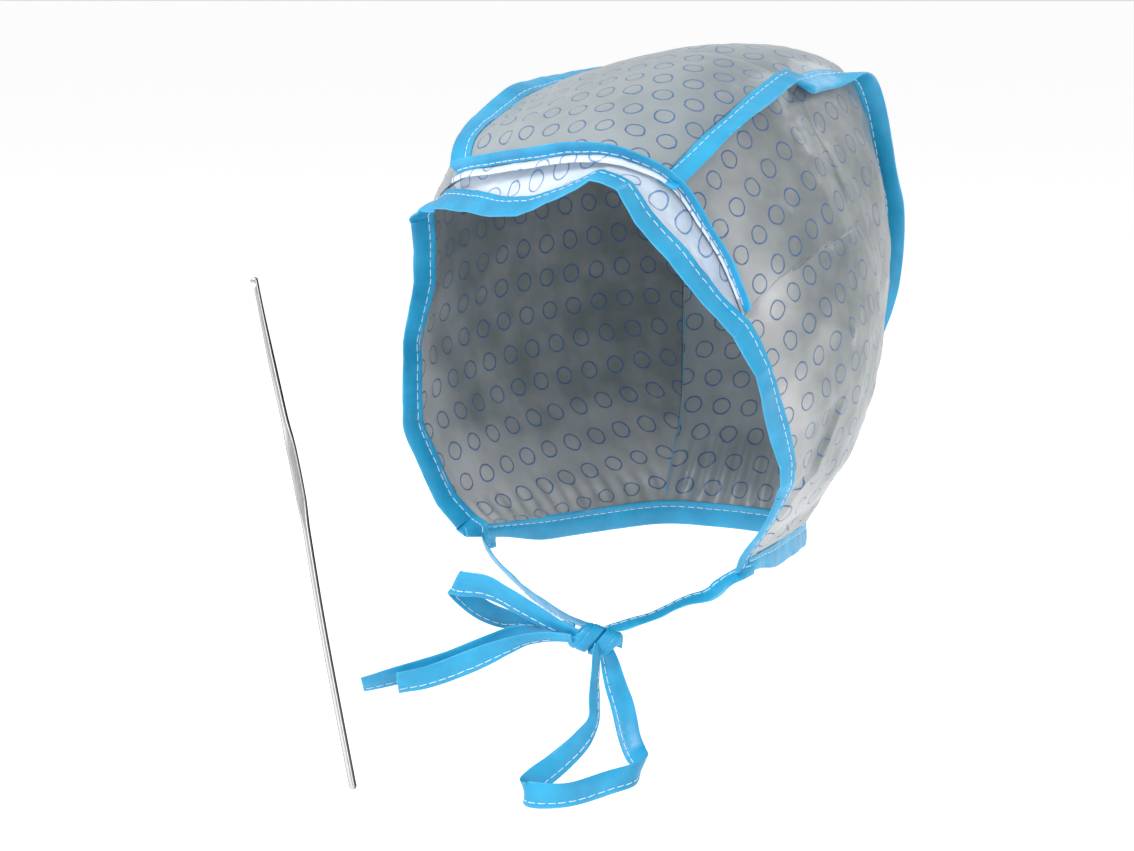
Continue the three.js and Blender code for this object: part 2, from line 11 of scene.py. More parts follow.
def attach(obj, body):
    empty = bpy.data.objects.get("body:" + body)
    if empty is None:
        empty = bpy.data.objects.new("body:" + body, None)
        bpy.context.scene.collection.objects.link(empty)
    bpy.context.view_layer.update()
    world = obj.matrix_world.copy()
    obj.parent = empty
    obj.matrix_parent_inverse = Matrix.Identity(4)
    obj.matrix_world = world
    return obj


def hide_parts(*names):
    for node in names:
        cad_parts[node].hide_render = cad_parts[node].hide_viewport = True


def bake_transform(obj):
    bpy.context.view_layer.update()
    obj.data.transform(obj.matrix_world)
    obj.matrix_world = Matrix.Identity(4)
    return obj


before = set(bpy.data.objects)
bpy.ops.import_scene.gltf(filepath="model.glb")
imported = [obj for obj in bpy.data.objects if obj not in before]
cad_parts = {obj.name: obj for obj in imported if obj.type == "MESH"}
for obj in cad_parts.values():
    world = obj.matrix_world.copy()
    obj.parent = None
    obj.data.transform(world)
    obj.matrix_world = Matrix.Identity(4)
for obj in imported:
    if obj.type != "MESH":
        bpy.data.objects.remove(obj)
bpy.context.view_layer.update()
MM = 0.001

# Driving dimensions, in millimetres
FILM = 0.35  # thickness of the vinyl film
BROW_WIDTH = 5.5  # widths of the folded tapes
FACE_WIDTH = 11.1
NAPE_WIDTH = 10.6
SEAM_WIDTH = 10
OVERLAP = 1.7  # how far a binding reaches over the film's edge
HEM_WIDTH = 3.8
STITCH_PITCH = 4.0
STITCH_LENGTH = 3.6
THREAD_RADIUS = 0.19
SIDE_BULGE = 16
CROWN_BULGE = 8
BULGE_POWER = 0.9
VISOR_RECESS = 2.5
RING_RADIUS = 3.7  # middle of a printed ring's line
RING_LINE = 0.72
CROWN_PITCH = (12.9, 12.9)  # along a row of rings, and from row to row
SIDE_PITCH = (13.0, 14.6)
HOOK_LENGTH = 201
HOOK_RADIUS = 1.45
HEAD = np.array([85.0, 95.0, 110.0])
HEAD_CENTRE = np.array([0.0, -30.0, 0.0])
KNOT_CENTRE = np.array([18.0, -75.0, -117.0])
SMOOTH = 0.5  # pull of the curve through a run of rows: round, or nearly straight between rows
CREASED = 0.15
VISOR_START = 0.05  # places along the brow line, as shares of its length
HEM_SPAN = (0.125, 0.97)
BROW_TAPE_SPAN = (0.135, 1.0)
HEM_THICKNESS = 0.7
SIDE_SEAM_TO_GRAIN = 0.3  # the column of a side panel that its print runs along
TIE_FIRST_STITCH = 1.5  # from a tape's end to its first stitch
BOW_FIRST_STITCH = 7.0
FILM_ALPHA = 0.9

# The hook: its tip, the taper behind it, the thumb rest, and the runs of its stations (from, to, count)
HOOK_TIP_RADIUS = 1.05
HOOK_TAPER_FROM, HOOK_TAPER_OVER = 5, 34
HOOK_NOSE, HOOK_TAIL = 1.0, 1.5
REST_FROM, REST_TO, REST_RAMP = 54, 86, 14
REST_WIDER, REST_THINNER = 0.38, 0.42
HOOK_BOW = 1.5
HOOK_RUNS = [(0, 6, 61), (6.5, 60, 60), (61, 110, 60), (112, 199, 30), (199.3, HOOK_LENGTH, 12)]

# The stage: a wide pale floor and an even white surround
FLOOR_SIZE, FLOOR_HEIGHT, FLOOR_GLOW = 2000, -0.2, 0.26
CLIP_END = 2500
SURROUND = 0.74
LIGHTS = [  # name, place, size and power
    ("key", (-0.5, -1.5, 1.5), 0.8, 32),
    ("fill", (1.7, -0.9, 0.4), 0.8, 5),
    ("rim", (0.4, 1.6, 1.2), 0.9, 8),
]

SECTION = [  # share of the width from the film's edge to the fold, and half thickness there
    (0.0, 0.3),
    (0.03, 0.44),
    (0.1, 0.5),
    (0.18, 0.42),
    (0.25, 0.3),
    (0.33, 0.44),
    (0.45, 0.62),
    (0.6, 0.7),
    (0.75, 0.66),
    (0.87, 0.52),
    (0.95, 0.34),
    (0.99, 0.16),
    (1.0, 0.0),
]
STITCH_SHARE = 0.25

KNOT_LENGTH, KNOT_HEIGHT, KNOT_DEPTH, KNOT_SLANT = 8.6, 6.0, 5.2, 2.2
KNOT_CREASES = [  # place along the knot, share of its girth, and width
    (0.4, 0.26, 0.45),
    (-4.6, 0.05, 0.4),
    (5.2, 0.05, 0.4),
]

# Painted highlights on the side film, and one painted shade where the strength is negative.
SIDE_LIGHT_AND_SHADE_PATCHES = [  # centre, reach and strength, on the wearer's left
    ((81, -58, 20), 13, 0.35),
    ((89, -24, 4), 12, 0.25),
    ((88, -46, -26), 18, 0.25),
    ((72, -22, -68), 18, 0.25),
    ((80, -32, 38), 20, -0.12),
]

# Camera: where it stands round the head, and how far the head lies from the middle of its view
AZIMUTH, ELEVATION = math.radians(34), math.radians(9)
DISTANCE = 1.1
HEAD_RIGHT_OF_MIDDLE, HEAD_ABOVE_MIDDLE = 0.0381, 0.0433
LENS = 85.2


def make_camera():
    sin_a, cos_a = math.sin(AZIMUTH), math.cos(AZIMUTH)
    sin_e, cos_e = math.sin(ELEVATION), math.cos(ELEVATION)
    back = Vector((sin_a * cos_e, -cos_a * cos_e, sin_e))
    right = Vector((cos_a, sin_a, 0))
    up = back.cross(right)
    camera = bpy.data.objects.new("camera", bpy.data.cameras.new("camera"))
    bpy.context.scene.collection.objects.link(camera)
    place = back * DISTANCE - right * HEAD_RIGHT_OF_MIDDLE - up * HEAD_ABOVE_MIDDLE
    camera.matrix_world = Matrix.Translation(place) @ Matrix((right, up, back)).transposed().to_4x4()
    camera.data.lens = LENS
    camera.data.clip_end = CLIP_END
    bpy.context.scene.camera = camera


make_camera()

# Film edges: x, y, z and the way the edge's binding stands off. SEAM_LEFT is a closer line than the CAD
# model's; the other edges are the same. Most rows of this and the next section began as points of the
# cap's outline that scratch programs placed at guessed depths. They were rounded, and some were moved by
# hand, but others are still what those programs printed.
SEAM_LEFT = [
    (51, -77, 66.5, 0.8, -0.3, -0.5),
    (54, -47, 83, 0.9, -0.3, -0.3),
    (56, -24, 93, 0.9, -0.2, -0.4),
    (56, -4, 98.5, 0.9, -0.2, -0.4),
    (57, 5, 95.5, 0.8, 0.1, -0.6),
    (56, 12, 98.5, 0.5, -0.6, -0.6),
    (56, 32, 101, 0.5, -0.6, -0.5),
    (55, 54, 98.5, 0.7, 0.2, 0.1),
    (52, 73, 88.5, 0.8, 0.4, 0.2),
    (52, 87, 60, 0.9, 0.1, 0),
    (51, 97, 40, 0.9, 0.2, 0),
    (49, 98, 12, 0.7, 0.5, 0),
    (46, 93, -18, 0.1, 1, 0),
    (40, 82, -50, -0.5, 0.9, 0),
    (37, 67, -78, -0.5, 0.9, 0),
    (36, 60, -90, -0.5, 0.9, 0),
]
# The left seam's tape is in two lengths: the front one ends in a fold where the rear one starts.
SEAM_LEFT_FRONT = [
    (48, -80, 63, 0.8, -0.3, -0.5),
    (50, -74, 67.3, 0.8, -0.3, -0.5),
    (55, -44.3, 83.7, 0.9, -0.4, -0.3),
    (56, -26, 92.5, 0.9, -0.2, -0.4),
    (56, -6, 100, 0.9, -0.1, -0.3),
    (56, 3, 102, 0.9, -0.1, -0.4),
]
SEAM_LEFT_REAR = [(56.5, 7, 97.2, 0.5, -0.6, -0.6), (56.5, 12, 99, 0.5, -0.6, -0.6)] + SEAM_LEFT[6:]
SEAM_RIGHT = [
    (-43, -74, 64, -0.8, -0.1, -0.3),
    (-48, -61, 76, -0.9, 0, -0.1),
    (-53, -32, 86, -0.9, 0, 0.2),
    (-55, -10, 92, -0.9, 0, 0.3),
    (-56, 32, 97, -0.9, 0.1, 0.2),
    (-55, 58, 96, -0.8, 0.4, 0.4),
    (-54, 74, 88, -0.7, 0.6, 0.3),
    (-54, 87, 60, -0.8, 0.5, 0),
    (-53, 98, 40, -0.8, 0.6, 0),
    (-50, 99, 12, -0.6, 0.8, 0),
    (-46, 93, -18, -0.6, 0.8, 0),
    (-40, 82, -50, -0.6, 0.8, 0),
    (-37, 67, -78, -0.6, 0.8, 0),
    (-36, 60, -90, -0.6, 0.8, 0),
]
BROW = [
    (-68, -59, 52, -0.1, -0.5, 0.9),
    (-57, -67, 57, 0, -0.5, 0.8),
    (-43, -74, 62, 0.1, -0.5, 0.8),
    (-24, -79, 65, 0.2, -0.5, 0.8),
    (-4, -85, 68, 0.3, -0.5, 0.8),
    (16, -88, 71, 0.3, -0.5, 0.8),
    (33, -88, 71, 0.4, -0.5, 0.8),
    (46, -83, 67, 0.6, -0.5, 0.6),
    (53, -77, 61, 0.8, -0.4, 0.4),
    (58, -73, 53, 0.8, -0.4, 0.3),
    (62, -70, 45, 0.8, -0.4, 0.2),
    (67, -67, 36, 0.8, -0.4, 0.1),
    (72, -66, 26, 0.8, -0.4, 0.1),
    (78, -67, 14, 0.8, -0.4, 0.1),
]
BROW_SEAM_RIGHT, BROW_SEAM_LEFT = 2, 8
FACE = [
    (-62, -38, -86, -0.2, -0.8, -0.5),
    (-71, -33, -85, -0.2, -0.8, -0.4),
    (-79, -37, -75, -0.2, -0.9, -0.3),
    (-85, -47, -50, -0.2, -0.9, 0),
    (-86, -50, -42, -0.2, -1, 0),
    (-86, -50, -10, -0.1, -1, 0),
    (-82, -46, 15, -0.3, -0.9, 0),
    (-81, -47, 30, -0.3, -0.9, 0),
    (-79, -51, 43, -0.3, -0.9, 0),
    (-68, -61, 50, 0.3, -0.9, 0),
    (-56, -70, 54, 0.4, -0.8, -0.4),
    (-33, -82, 55, 0.4, -0.8, -0.5),
    (-12, -92, 54, 0.4, -0.8, -0.5),
    (0, -95, 55, 0.3, -0.8, -0.5),
    (18, -98, 60, 0.2, -0.9, -0.4),
    (35, -99, 67, 0.2, -0.9, -0.3),
    (47, -97, 63, 0, -1, -0.2),
    (53, -93, 52, 0, -0.9, -0.4),
    (64, -86, 38, -0.2, -0.9, -0.2),
    (74, -77, 21, -0.2, -1, 0),
    (81, -69, 11, -0.3, -0.9, 0),
    (84, -66, 4, -0.3, -1, 0),
    (87, -62, -6, -0.1, -1, 0),
    (88, -59, -15, -0.1, -1, 0),
    (88, -51, -30, -0.3, -0.9, 0.1),
    (86, -42, -44, -0.2, -1, 0),
    (84, -39, -53, -0.1, -1, 0),
    (80, -36, -59, 0, -1, 0.1),
    (74, -36, -70, 0.1, -1, 0.1),
    (67, -36, -81, 0.1, -0.9, 0.2),
    (63, -36, -86, 0.1, -1, 0.1),
]
VISOR_RIGHT, VISOR_LEFT = 9, 20
NAPE = [
    (-62, -36, -88, 0, 0, -1),
    (-60, -17, -89, 0, 0, -1),
    (-51, 25, -90, 0, 0, -1),
    (-36, 60, -90, 0, 0, -1),
    (-14, 72, -91, 0, 0, -1),
    (14, 72, -91, 0, 0, -1),
    (36, 60, -90, 0, 0, -1),
    (51, 20, -88, 0, 0, -1),
    (60, -17, -88, 0, 0, -1),
    (63, -34, -88, 0, 0, -1),
]
NAPE_SEAM_RIGHT, NAPE_SEAM_LEFT = 3, 6
TOP_CORNER = {"left": 8, "right": 6}  # the row of each seam at the crown's back corner

# Ties and bow: x, y, z of the middle of the tape, the way across it, and its width there.
TIE_LEFT = [
    (63, -31, -91, 0, 0, -1, 5),
    (62.5, -39, -91.5, 0.4, -0.4, -0.8, 5.5),
    (59, -43.5, -94, 0.6, -0.6, -0.5, 7),
    (56, -46, -97, 0.7, -0.6, -0.4, 9),
    (52.9, -48, -99.6, 0.7, -0.6, -0.3, 8.5),
    (44.9, -52, -102.7, 0.7, -0.7, -0.1, 9),
    (34.5, -58.5, -108.5, 0.7, -0.7, -0.1, 9),
    (27, -66, -111.5, 0.6, -0.7, -0.3, 7.2),
    (22, -71, -112.9, 0.6, -0.7, -0.3, 5.7),
    (18, -75, -116, 0.6, -0.7, -0.3, 4),
]
TIE_RIGHT = [
    (-62, -30, -92.5, 0, -0.2, 1, 9),
    (-61, -39, -93.5, 0.1, -0.5, 0.8, 9),
    (-48, -45, -101, 0.1, -0.7, 0.7, 9),
    (-30, -52, -108, 0.1, -0.7, 0.7, 9),
    (-10, -61, -112, 0.2, -0.7, 0.7, 8),
    (5, -68, -113, 0.2, -0.7, 0.7, 5),
    (12, -70, -113, 0.2, -0.7, 0.7, 4),
]
LOOP_SIDE = [
    (14, -81, -114.4, 0.5, -0.3, 0.8, 5.8),
    (9.5, -83, -113, 0.6, -0.3, 0.8, 7.1),
    (3.3, -85, -110, 0.5, -0.2, 0.8, 8),
    (-6.3, -87.5, -105, 0.6, -0.1, 0.8, 8.9),
    (-14.9, -89.5, -101, 0.6, -0.1, 0.8, 9.2),
    (-23, -92, -97.8, 0.5, 0, 0.8, 10),
    (-32, -94, -97.5, 0.5, 0.1, 0.8, 10),
    (-37.5, -91, -98.5, 0.4, 0.2, 0.9, 10),
    (-37.5, -85, -104.6, 0.3, 0.3, 0.9, 9),
    (-32.9, -80, -110.5, 0.3, 0.3, 0.9, 8.5),
    (-25, -77, -113.5, 0.3, 0.2, 0.9, 8),
    (-17, -75.5, -113.5, 0.2, 0.2, 1, 6),
    (-8, -74.5, -113.6, 0.1, 0.2, 1, 5),
    (7, -73.4, -114.2, 0, 0.2, 1, 4),
]
LOOP_HANGING = [
    (22, -79, -118, 0.1, -0.9, 0.3, 6.2),
    (24, -84, -125.5, 0.1, -1, 0.2, 6.2),
    (26, -88, -137, -0.1, -1, 0.2, 6.5),
    (27.5, -91, -144.6, -0.1, -0.9, 0.3, 7),
    (25.7, -97, -151.6, -0.6, -0.6, 0.4, 8),
    (21.5, -105.5, -158.4, -0.8, -0.3, 0.5, 9.3),
    (18.1, -115, -163.3, -0.6, -0.1, 0.8, 10),
    (16.4, -120.5, -167, 0, 0, 1, 10),
    (22.4, -120.5, -167.7, 0, 0.1, 1, 10),
    (32.2, -113.5, -167.4, 0, 0.3, 0.9, 9),
    (41.4, -101, -164.3, -0.1, 0.5, 0.8, 9),
    (46.6, -92, -162.5, 0, 0.3, 0.9, 8.6),
    (45.5, -84, -160.5, 0.3, 0.3, 0.9, 8.4),
    (39.5, -79.5, -158, 0.8, 0.4, 0.5, 9),
    (34.8, -76.5, -153, 0.9, 0.3, 0.2, 9),
    (29.5, -73, -143, 1, 0.1, 0, 10),
    (25.1, -71.5, -134.7, 1, 0.1, 0.1, 9.6),
    (22.1, -70.5, -127.3, 1, 0.1, 0.1, 8.4),
    (20, -70.5, -121, 1, 0.2, 0.1, 5.6),
]
END_UPPER = [
    (10.6, -78, -114.5, 0.4, -0.5, 0.8, 4.4),
    (-2.3, -80.5, -115, 0.3, -0.5, 0.8, 5.6),
    (-13, -84, -117, -0.1, -0.4, 0.9, 7.6),
    (-23.7, -90.5, -122.1, -0.2, -0.4, 0.9, 8.8),
    (-34.1, -99, -127.4, -0.2, -0.3, 0.9, 8.7),
    (-47.4, -110, -132.1, 0, -0.4, 0.9, 8.7),
    (-60.8, -122, -136.2, 0.1, -0.7, 0.7, 8.9),
]
END_LOWER = [
    (13, -84, -115.3, 0.5, -0.4, 0.8, 4.6),
    (3, -87.5, -115.5, 0.3, -0.5, 0.8, 5.6),
    (-4.6, -91, -117, 0.1, -0.6, 0.8, 6.7),
    (-10.8, -95, -119.5, -0.3, -0.6, 0.7, 8),
    (-20.4, -100.5, -124.6, -0.5, -0.4, 0.7, 9),
    (-31.4, -107, -129.9, -0.4, -0.3, 0.8, 9),
    (-38.5, -113, -132.6, -0.2, -0.3, 0.9, 9),
    (-45.2, -119.5, -134, 0.2, -0.3, 0.9, 9.8),
]
HOOK_TIP = np.array([-96.0, -141.0, 24.0])
HOOK_WAY = np.array([0.243, -0.021, -0.97])


# Curves and patches
def unit(v):
    return v / np.maximum(np.linalg.norm(v, axis=-1, keepdims=True), 1e-9)


def smoothstep(x):
    x = np.clip(x, 0, 1)
    return x * x * (3 - 2 * x)


def spline(rows, tension, steps=40):
    """A dense run of points through the rows, with every column carried along."""
    p = np.array(rows, float)
    p = np.vstack([2 * p[0] - p[1], p, 2 * p[-1] - p[-2]])
    t = np.linspace(0, 1, steps, endpoint=False)[:, None]
    parts = []
    for i in range(1, len(p) - 2):
        a, b = p[i], p[i + 1]
        da, db = tension * (b - p[i - 1]), tension * (p[i + 2] - a)
        cubic = (2 * a - 2 * b + da + db) * t**3 + (-3 * a + 3 * b - 2 * da - db) * t**2
        parts.append(cubic + da * t + a)
    return np.vstack(parts + [p[-2:-1]])


class Rail:
    """A dense run of rows, read by its arc length from 0 to 1."""

    def __init__(self, path):
        self.path = path
        steps = np.linalg.norm(np.diff(path[:, :3], axis=0), axis=1)
        self.reach = np.concatenate([[0], np.cumsum(steps)])
        self.length = self.reach[-1]

    def __call__(self, s):
        goal = np.clip(s, 0, 1) * self.length
        return np.stack([np.interp(goal, self.reach, c) for c in self.path.T], -1)

    def back(self):
        return Rail(self.path[::-1])


def rail(rows, tension, first=0, last=None, steps=40):
    last = len(rows) - 1 if last is None else last
    return Rail(spline(rows, tension, steps)[first * steps : last * steps + 1])


def chain(first, second):
    s = np.linspace(0, 1, 400)
    return Rail(np.vstack([first(s)[:, :3], second(s)[1:, :3]]))


def head_normal(p):
    return unit((p - HEAD_CENTRE) / HEAD**2)


def coons(low, high, start, end, u, v):
    """Points of the patch that spans four rails, at arrays u and v of one shape."""
    lo, hi, st, en = low(u)[..., :3], high(u)[..., :3], start(v)[..., :3], end(v)[..., :3]
    u, v = u[..., None], v[..., None]
    c00, c10, c01, c11 = low(0)[:3], low(1)[:3], high(0)[:3], high(1)[:3]
    corners = (c00 * (1 - u) + c10 * u) * (1 - v) + (c01 * (1 - u) + c11 * u) * v
    return lo * (1 - v) + hi * v + st * (1 - u) + en * u - corners


def grid_normals(p):
    """Outward unit normals of a grid of points."""
    n = unit(np.cross(np.gradient(p, axis=1), np.gradient(p, axis=0)))
    if (n * head_normal(p)).sum() < 0:
        n = -n
    return n


def swollen(p, u, v, bulge):
    height = np.clip(np.sin(np.pi * u) * np.sin(np.pi * v), 0, None) ** BULGE_POWER
    return p + grid_normals(p) * (bulge * height)[..., None]


def fractal(p, scale, seed, octaves=3):
    """Smooth noise of about -1 to 1 at each point, with features about scale millimetres across."""
    flat = p.reshape(-1, 3) / scale
    values = [noise.fractal(Vector(q) + Vector((seed, 0, 0)), 1.0, 2.0, octaves) for q in flat]
    return np.array(values).reshape(p.shape[:-1])


def step_fold(p, start, end, drop, sharp, reach, fade=0.25):
    """A pleat along start-end: the surface drops behind the line and comes back over `reach`."""
    start, end = np.array(start, float), np.array(end, float)
    way = end - start
    length = np.linalg.norm(way)
    way /= length
    along = (p - start) @ way / length
    side = unit(np.cross(way, head_normal((start + end) / 2)))
    off = (p - start) @ side
    hold = smoothstep((along + fade) / fade) * smoothstep((1 + fade - along) / fade)
    return -drop * smoothstep(off / sharp) * (1 - smoothstep((off - sharp) / reach)) * hold


def ridge(p, start, end, height, width, fade=0.3):
    """A soft raised fold along start-end."""
    start, end = np.array(start, float), np.array(end, float)
    way = end - start
    length = np.linalg.norm(way)
    along = (p - start) @ way / length**2
    nearest = start + np.clip(along, 0, 1)[..., None] * way
    off = np.linalg.norm(p - nearest, axis=-1)
    hold = smoothstep((along + fade) / fade) * smoothstep((1 + fade - along) / fade)
    return height * np.exp(-((off / width) ** 2)) * hold


# Meshes
def mesh_object(name, vertices, faces, material, uv=None, smooth=True):
    """A mesh from vertices in millimetres. uv gives each vertex its place on the flat sheet, in metres."""
    mesh = bpy.data.meshes.new(name)
    mesh.from_pydata((np.asarray(vertices) * MM).tolist(), [], faces)
    if uv is not None:
        layer = mesh.uv_layers.new(name="flat")
        corner = np.zeros(len(mesh.loops), int)
        mesh.loops.foreach_get("vertex_index", corner)
        layer.data.foreach_set("uv", np.asarray(uv)[corner].astype(np.float32).ravel())
    mesh.materials.append(material)
    mesh.validate()
    if smooth:
        mesh.shade_smooth()
    obj = bpy.data.objects.new(name, mesh)
    bpy.context.scene.collection.objects.link(obj)
    return obj


def add_tone(obj, tone):
    """Stores one number for each vertex, which the material reads: the painted light and shade of a film
    piece, or the painted reflection of the hook.
    """
    layer = obj.data.attributes.new("tone", "FLOAT", "POINT")
    layer.data.foreach_set("value", np.asarray(tone, np.float32))


def grid_faces(rows, columns, close_rows=False):
    i, j = np.meshgrid(np.arange(columns - 1), np.arange(rows if close_rows else rows - 1))
    a = j * columns + i
    b = (j + 1) % rows * columns + i
    return np.stack([a, a + 1, b + 1, b], -1).reshape(-1, 4)


def shell(name, p, material, uv, tone, thickness=FILM):
    """A closed thin film over a grid of outer points."""
    rows, columns = p.shape[:2]
    count = rows * columns
    normals = grid_normals(p)
    outer = p.reshape(-1, 3)
    inner = (p - normals * thickness).reshape(-1, 3)
    faces = grid_faces(rows, columns)
    n = np.cross(outer[faces[:, 1]] - outer[faces[:, 0]], outer[faces[:, 3]] - outer[faces[:, 0]])
    if (n * normals.reshape(-1, 3)[faces[:, 0]]).sum() < 0:
        faces = faces[:, ::-1]
    index = np.arange(count).reshape(rows, columns)
    rim = np.concatenate([index[0, :-1], index[:-1, -1], index[-1, :0:-1], index[:0:-1, 0]])
    following = np.roll(rim, -1)
    walls = np.stack([rim, following, following + count, rim + count], 1)
    first = set(map(tuple, np.stack([faces, np.roll(faces, -1, 1)], -1).reshape(-1, 2)[:4000].tolist()))
    if (int(rim[0]), int(following[0])) in first:
        walls = walls[:, ::-1]
    everything = np.concatenate([faces, faces[:, ::-1] + count, walls]).tolist()
    flat = uv.reshape(-1, 2)
    obj = mesh_object(name, np.vstack([outer, inner]), everything, material, np.vstack([flat, flat]))
    add_tone(obj, np.concatenate([tone.ravel(), tone.ravel()]))
    return obj


def flat_map(p, u_zero):
    """Each grid point's place on the flat sheet in metres: along its row, and up the column at u_zero."""
    row_steps = np.linalg.norm(np.diff(p, axis=1), axis=-1)
    along = np.concatenate([np.zeros((len(p), 1)), np.cumsum(row_steps, 1)], 1)
    middle = int(u_zero * (p.shape[1] - 1))
    along = along - along[:, middle : middle + 1]
    steps = np.linalg.norm(np.diff(p[:, middle], axis=0), axis=-1)
    up = np.concatenate([[0], np.cumsum(steps)])
    return np.stack([along, np.broadcast_to(up[:, None], along.shape)], -1) * MM


# Materials
class Nodes:
    """Short ways to add and join shader nodes."""

    def __init__(self, name):
        self.material = bpy.data.materials.new(name)
        self.material.use_nodes = True
        self.tree = self.material.node_tree
        self.shader = self.tree.nodes["Principled BSDF"]

    def put(self, socket, value):
        if isinstance(value, bpy.types.NodeSocket):
            self.tree.links.new(value, socket)
        else:
            socket.default_value = value

    def add(self, kind, inputs=(), **settings):
        node = self.tree.nodes.new(kind)
        for key, value in settings.items():
            setattr(node, key, value)
        for key, value in dict(inputs).items():
            self.put(node.inputs[key], value)
        return node

    def math(self, operation, a, b=0.0, clamp=False):
        node = self.add("ShaderNodeMath", {0: a, 1: b}, operation=operation)
        node.use_clamp = clamp
        return node.outputs[0]

    def vector(self, operation, a, b=(0, 0, 0)):
        node = self.add("ShaderNodeVectorMath", {0: a, 1: b}, operation=operation)
        return node.outputs["Value" if operation == "LENGTH" else "Vector"]

    def noise(self, where, scale, detail=3.0):
        node = self.add("ShaderNodeTexNoise", {"Vector": where, "Scale": scale, "Detail": detail})
        return node.outputs["Fac"]

    def remap(self, value, low, high, to_low, to_high):
        inputs = {"Value": value, "From Min": low, "From Max": high, "To Min": to_low, "To Max": to_high}
        return self.add("ShaderNodeMapRange", inputs).outputs["Result"]

    def mix(self, share, a, b):
        node = self.add("ShaderNodeMix", data_type="RGBA")
        self.put(node.inputs[0], share)
        self.put(node.inputs[6], a)
        self.put(node.inputs[7], b)
        return node.outputs[2]

    def bump(self, height, distance, strength=1.0):
        inputs = {"Height": height, "Distance": distance, "Strength": strength}
        self.put(self.shader.inputs["Normal"], self.add("ShaderNodeBump", inputs).outputs["Normal"])

    def set(self, **values):
        for key, value in values.items():
            self.put(self.shader.inputs[key.replace("_", " ")], value)


def ring_mask(n, flat, turn, pitch, staggered):
    """1 on the printed rings, 0 between them. A staggered row lies half a pitch on from the last."""
    along, between = pitch[0] * MM, pitch[1] * MM * (2 if staggered else 1)
    rotate = n.add("ShaderNodeVectorRotate", {"Vector": flat, "Angle": turn}, rotation_type="Z_AXIS")
    turned = rotate.outputs[0]
    wobble = n.add("ShaderNodeTexNoise", {"Vector": flat, "Scale": 260.0, "Detail": 2.0}).outputs["Color"]
    shift = n.vector("MULTIPLY", n.vector("SUBTRACT", wobble, (0.5, 0.5, 0.5)), (0.0009, 0.0009, 0))
    turned = n.vector("ADD", turned, shift)
    mask = 0.0
    for offset in (0, 0.5) if staggered else (0,):
        cell = n.vector("ADD", n.vector("DIVIDE", turned, (along, between, 1)), (offset, offset, 0))
        local = n.vector("SUBTRACT", n.vector("FRACTION", cell), (0.5, 0.5, 0))
        flat_local = n.vector("MULTIPLY", local, (along, between, 0))
        off = n.math("ABSOLUTE", n.math("SUBTRACT", n.vector("LENGTH", flat_local), RING_RADIUS * MM))
        half = RING_LINE / 2 * MM
        mask = n.math("MAXIMUM", n.remap(off, half * 0.6, half * 1.4, 1.0, 0.0), mask, clamp=True)
    return mask


def film_material(name, light, dark, ink, turn, alpha, pitch, staggered=True):
    """Frosted vinyl with printed rings. The tone of each vertex, which holds painted light and shade with
    some random tone, mixes the shaded dark and the lit light colour of the film.
    """
    n = Nodes(name)
    flat = n.add("ShaderNodeUVMap", uv_map="flat").outputs["UV"]
    tone = n.add("ShaderNodeAttribute", attribute_name="tone").outputs["Fac"]
    cloud = n.noise(flat, 55.0, 4.0)
    share = n.math("ADD", tone, n.remap(cloud, 0.3, 0.7, -0.1, 0.1), clamp=True)
    film = n.mix(share, dark, light)
    fade = n.remap(n.noise(flat, 400.0, 2.0), 0.35, 0.65, 0.72, 1.0)
    rings = n.math("MULTIPLY", ring_mask(n, flat, turn, pitch, staggered), fade)
    n.set(Base_Color=n.mix(rings, film, ink), Alpha=alpha, IOR=1.5)
    n.set(Roughness=n.remap(cloud, 0.3, 0.7, 0.3, 0.44), Coat_Weight=0.25, Coat_Roughness=0.22)
    n.set(Sheen_Weight=0.12)
    grain = n.math("ADD", n.noise(flat, 1500.0, 2.0), n.math("MULTIPLY", n.noise(flat, 160.0, 3.0), 1.6))
    n.bump(n.math("ADD", grain, n.math("MULTIPLY", rings, 0.4)), 0.00012, 0.35)
    return n.material


def binding_material():
    """Soft bright blue vinyl tape with a fine embossed grain, paler along its sharp folds."""
    n = Nodes("blue_vinyl")
    place = n.add("ShaderNodeTexCoord").outputs["Object"]
    cloud = n.noise(place, 60.0, 4.0)
    pointed = n.add("ShaderNodeNewGeometry").outputs["Pointiness"]
    base = n.mix(n.remap(cloud, 0.3, 0.7, 0.0, 1.0), (0.009, 0.26, 0.49, 1), (0.02, 0.37, 0.65, 1))
    pale_folds = n.mix(n.remap(pointed, 0.52, 0.6, 0.0, 0.5), base, (0.12, 0.58, 0.88, 1))
    n.set(Base_Color=pale_folds, Roughness=n.remap(n.noise(place, 300.0), 0.3, 0.7, 0.32, 0.46), IOR=1.5)
    grain = n.math("ADD", n.noise(place, 2600.0, 2.0), n.math("MULTIPLY", n.noise(place, 350.0, 3.0), 1.5))
    n.bump(grain, 0.00012, 0.4)
    return n.material


def thread_material():
    """White twisted sewing thread."""
    n = Nodes("white_thread")
    place = n.add("ShaderNodeTexCoord").outputs["Object"]
    inputs = {"Vector": place, "Scale": 900.0, "Distortion": 2.0}
    twist = n.add("ShaderNodeTexWave", inputs, bands_direction="DIAGONAL").outputs["Fac"]
    n.set(Base_Color=n.mix(twist, (0.46, 0.64, 0.80, 1), (0.80, 0.88, 0.94, 1)))
    n.set(Roughness=0.6, Sheen_Weight=0.3)
    n.bump(twist, 0.00006, 0.6)
    return n.material


